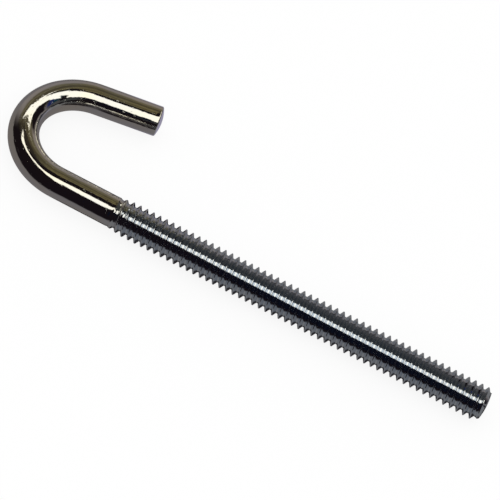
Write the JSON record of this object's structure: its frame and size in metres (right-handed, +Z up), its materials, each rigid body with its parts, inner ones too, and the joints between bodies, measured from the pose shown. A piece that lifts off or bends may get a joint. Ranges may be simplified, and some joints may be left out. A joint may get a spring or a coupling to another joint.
{
  "type": "j hook bolt",
  "caption": "Bright plated round steel rod bent into an open J hook at one end, with a long rolled right-hand thread on its straight shank for a nut and washer.",
  "frame": {"origin": "middle of the hook's box, on the surface that it lies on", "axes": "+X along the shank from the hook to the threaded end, +Y from the shank towards the hook's tip, +Z up from the surface"},
  "size_m": [0.0964, 0.0286, 0.0063],
  "materials": {
    "plated_steel": "bright plating, mirror smooth on the plain rod and the bend, with faint rolling lines on the thread"
  },
  "bodies": {
    "root": {"j_hook": "plated_steel"}
  },
  "joints": []
}
